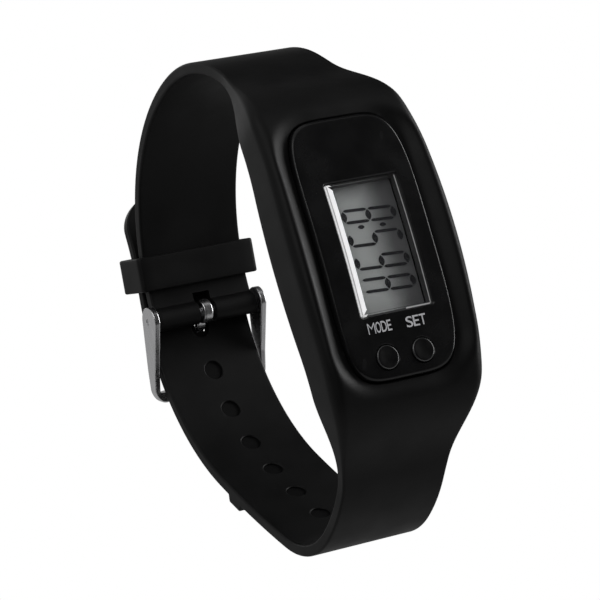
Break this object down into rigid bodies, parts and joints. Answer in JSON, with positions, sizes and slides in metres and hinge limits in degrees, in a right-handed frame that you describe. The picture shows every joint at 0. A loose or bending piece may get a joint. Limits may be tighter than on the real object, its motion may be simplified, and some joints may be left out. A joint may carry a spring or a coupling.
{
  "type": "fitness tracker",
  "caption": "Wrist pedometer: black module with a rectangular display and round push buttons in a one-piece silicone band closed by a steel tang buckle and a keeper.",
  "frame": {"origin": "middle of the module's flat back, the face that rests on the wrist", "axes": "+Y out of the flat back towards the wrist, so the display faces -Y; +Z towards the 12 o'clock strap; +X across the wrist, to the right of someone who faces the display"},
  "size_m": [0.028, 0.0683, 0.0783],
  "materials": {
    "silicone": "matte",
    "case_plastic": "satin",
    "window": "clear",
    "tape": "matte",
    "film": "clear",
    "display_glass": "clear",
    "display_ink": "matte",
    "reflector": "satin",
    "white_plastic": "matte",
    "contact_rubber": "matte",
    "steel": "satin",
    "brass": "satin",
    "board": "satin",
    "epoxy": "satin",
    "ceramic": "matte",
    "seal_rubber": "matte"
  },
  "bodies": {
    "band": {"silicone_band": "silicone", "spring_bar_tube": "steel", "spring_bar_spring": "steel"},
    "keeper": {"keeper_loop": "silicone"},
    "buckle": {"buckle_frame": "steel"},
    "tongue": {"buckle_tongue": "steel"},
    "bar_tip_left": {"spring_bar_tip_left": "steel"},
    "bar_tip_right": {"spring_bar_tip_right": "steel"},
    "tracker_module": {"front_case": "case_plastic", "window_lens": "window", "lens_tape": "tape", "front_polariser": "film", "lcd_front_glass": "display_glass", "display_segments": "display_ink", "lcd_rear_glass": "display_glass", "rear_polariser": "reflector", "lcd_holder": "white_plastic", "zebra_strip": "contact_rubber", "switch_domes": "brass", "circuit_board": "board", "chip_blob": "epoxy", "quartz_crystal": "steel", "motion_sensor": "epoxy", "chip_parts": "ceramic", "positive_contact": "brass", "negative_contact": "brass", "coin_cell": "steel", "back_cover": "case_plastic", "case_screws": "steel"},
    "mode_key": {"mode_button": "case_plastic"},
    "set_key": {"set_button": "case_plastic"},
    "cell_door": {"battery_door": "case_plastic", "door_seal": "seal_rubber"}
  },
  "joints": [
    {"name": "keeper_shift", "type": "hinge", "parent": "band", "child": "keeper", "pos_m": [0, 0.02012, 0.00651], "axis": [1, 0, 0], "range_deg": [-2, 2]},
    {"name": "buckle_pivot", "type": "hinge", "parent": "band", "child": "buckle", "pos_m": [0, 0.05073, 0.0052], "axis": [1, 0, 0], "range_deg": [-1.8, 0]},
    {"name": "tongue_pivot", "type": "hinge", "parent": "band", "child": "tongue", "pos_m": [0, 0.05073, 0.0052], "axis": [1, 0, 0], "range_deg": [0, 3.5]},
    {"name": "left_tip_slide", "type": "slide", "parent": "band", "child": "bar_tip_left", "axis": [1, 0, 0], "range_m": [0, 0.0011], "stiffness_N_per_m": 300, "deforming": ["spring_bar_spring"]},
    {"name": "right_tip_slide", "type": "slide", "parent": "band", "child": "bar_tip_right", "axis": [-1, 0, 0], "range_m": [0, 0.0011], "stiffness_N_per_m": 300},
    {"name": "module_release", "type": "slide", "parent": "band", "child": "tracker_module", "axis": [0, 1, 0], "range_m": [0, 0.012]},
    {"name": "mode_press", "type": "slide", "parent": "tracker_module", "child": "mode_key", "axis": [0, 1, 0], "range_m": [0, 0.0003], "stiffness_N_per_m": 400, "deforming": ["switch_domes"]},
    {"name": "set_press", "type": "slide", "parent": "tracker_module", "child": "set_key", "axis": [0, 1, 0], "range_m": [0, 0.0003], "stiffness_N_per_m": 400},
    {"name": "door_turn", "type": "hinge", "parent": "tracker_module", "child": "cell_door", "pos_m": [0, 0, 0.0076], "axis": [0, -1, 0], "range_deg": [0, 45]}
  ]
}
